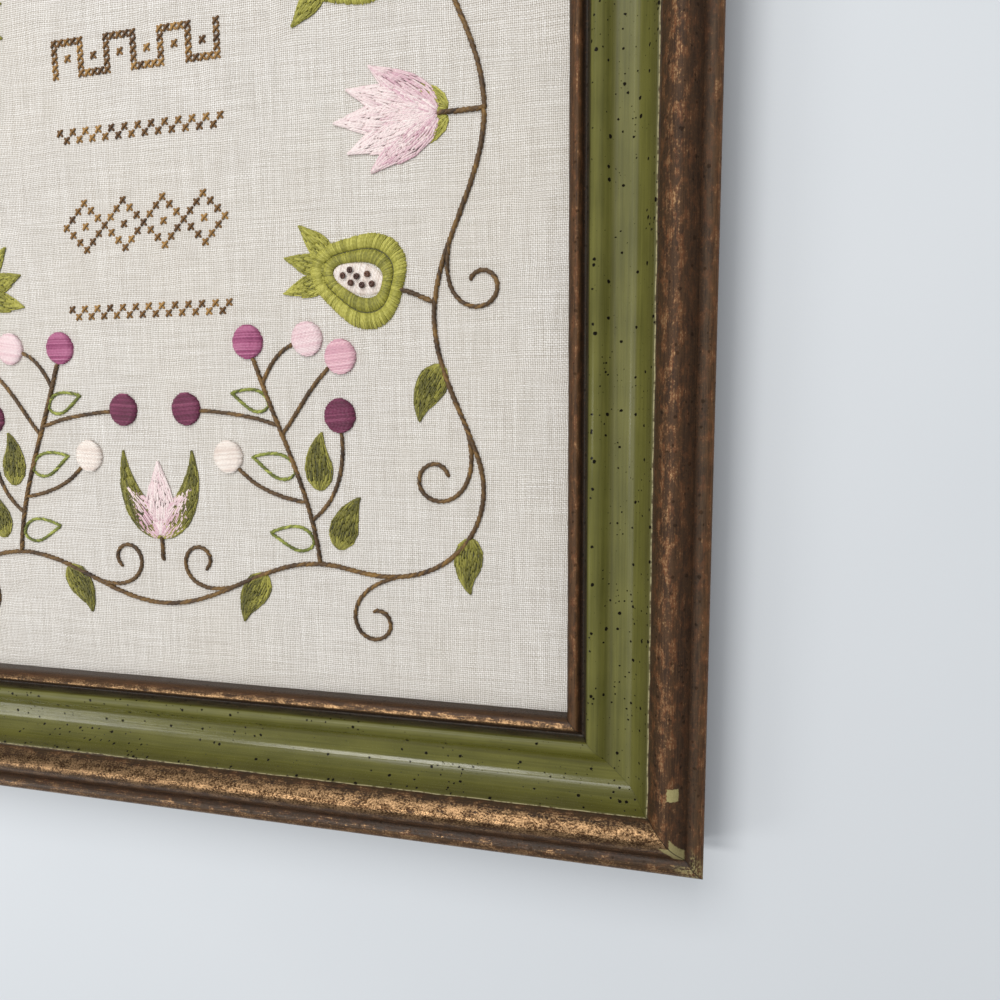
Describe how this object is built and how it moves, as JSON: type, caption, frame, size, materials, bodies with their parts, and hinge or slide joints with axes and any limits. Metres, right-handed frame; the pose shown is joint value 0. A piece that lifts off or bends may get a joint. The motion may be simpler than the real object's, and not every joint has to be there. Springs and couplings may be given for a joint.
{
  "type": "framed crewel and cross stitch picture",
  "caption": "Embroidered linen picture, stretched over a board in a mitred wooden moulding with a painted cove and a rubbed bronze ridge; it lies on its back.",
  "frame": {"origin": "centre of the picture's back, in the plane it lies or hangs on", "axes": "+X to the picture's right, +Y to its top, +Z out of its face"},
  "size_m": [0.36, 0.436, 0.0246],
  "materials": {
    "moulding": "satin green paint with dark specks, between rubbed bronze and dark brown beads",
    "linen": "plain woven off-white linen",
    "thread_brown": "variegated brown embroidery thread",
    "thread_green": "lime and dark olive embroidery thread",
    "thread_pink": "mauve, plum, pink and near-white embroidery thread",
    "board": "plain grey-brown card"
  },
  "bodies": {
    "root": {"rail_bottom": "moulding", "rail_right": "moulding", "rail_top": "moulding", "rail_left": "moulding", "linen": "linen", "mounting_board": "board"}
  },
  "joints": []
}
